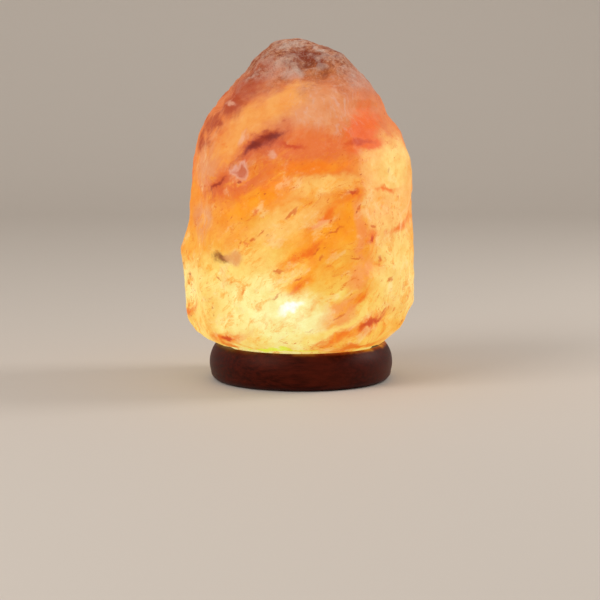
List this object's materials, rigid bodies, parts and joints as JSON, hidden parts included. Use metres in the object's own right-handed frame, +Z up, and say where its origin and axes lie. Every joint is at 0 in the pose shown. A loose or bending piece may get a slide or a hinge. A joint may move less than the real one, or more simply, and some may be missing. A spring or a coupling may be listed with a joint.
{
  "type": "salt crystal lamp",
  "caption": "Table lamp: a rough hollowed salt crystal on a low turned wooden foot, lit from inside by a small bulb on a spring clip.",
  "frame": {"origin": "centre of the ring-shaped pad's underside, on the table and on the lamp's axis", "axes": "+Z up along the bulb's axis; the front that the picture shows looks along -Y; the cord channel leaves along +Y"},
  "size_m": [0.1448, 0.1341, 0.2095],
  "materials": {
    "salt": "rough, translucent, lit from inside",
    "dark_wood": "satin varnish",
    "pad_rubber": "matte",
    "zinc_steel": "satin",
    "nylon": "matte",
    "nickel": "plated",
    "spring_steel": "satin",
    "moulded": "semi-matte",
    "ceramic": "matte",
    "brass": "satin",
    "bulb_glass": "clear",
    "black_glass": "glossy",
    "cement": "matte",
    "solder": "satin",
    "tungsten": "glowing"
  },
  "bodies": {
    "lampholder": {"clip_plate": "nickel", "clip_bridge": "spring_steel", "threaded_nipple": "zinc_steel", "nipple_nut": "zinc_steel", "holder_cap": "moulded", "holder_skirt": "moulded", "terminal_block": "ceramic", "terminals": "brass", "terminal_screws": "zinc_steel", "centre_contact": "brass", "side_contact": "brass", "screw_sleeve": "brass"},
    "lamp_body": {"salt_crystal": "salt", "wood_base": "dark_wood", "foot_pad": "pad_rubber", "crystal_screws": "zinc_steel", "wall_plugs": "nylon"},
    "left_wing": {"left_wing": "spring_steel"},
    "right_wing": {"right_wing": "spring_steel"},
    "bulb_end": {"bulb_contact": "solder"},
    "bulb": {"bulb_cap": "brass", "bulb_insulator": "black_glass", "bulb_cement": "cement", "bulb_glass": "bulb_glass", "bulb_stem": "bulb_glass", "bulb_wires": "zinc_steel", "bulb_filament": "tungsten"}
  },
  "joints": [
    {"name": "lamp_lift", "type": "slide", "parent": "lampholder", "child": "lamp_body", "axis": [0, 0, 1], "range_m": [0, 0.12]},
    {"name": "bulb_lift", "type": "slide", "parent": "lampholder", "child": "bulb_end", "axis": [0, 0, 1], "range_m": [0, 0.01412]},
    {"name": "bulb_turn", "type": "hinge", "parent": "bulb_end", "child": "bulb", "pos_m": [0, 0, 0.03], "axis": [0, 0, 1], "range_deg": [0, 1800]},
    {"name": "left_wing_flex", "type": "hinge", "parent": "lampholder", "child": "left_wing", "pos_m": [-0.0145, 0, 0.01125], "axis": [0, 1, 0], "range_deg": [0, 8], "stiffness_Nm_per_rad": 1, "springref_deg": -4.58},
    {"name": "right_wing_flex", "type": "hinge", "parent": "lampholder", "child": "right_wing", "pos_m": [0.0145, 0, 0.01125], "axis": [0, -1, 0], "range_deg": [0, 8], "stiffness_Nm_per_rad": 1, "springref_deg": -4.58}
  ],
  "couplings": [
    {"joint": "bulb_lift", "follows": "bulb_turn", "m_per_rad": 0.00044914}
  ]
}
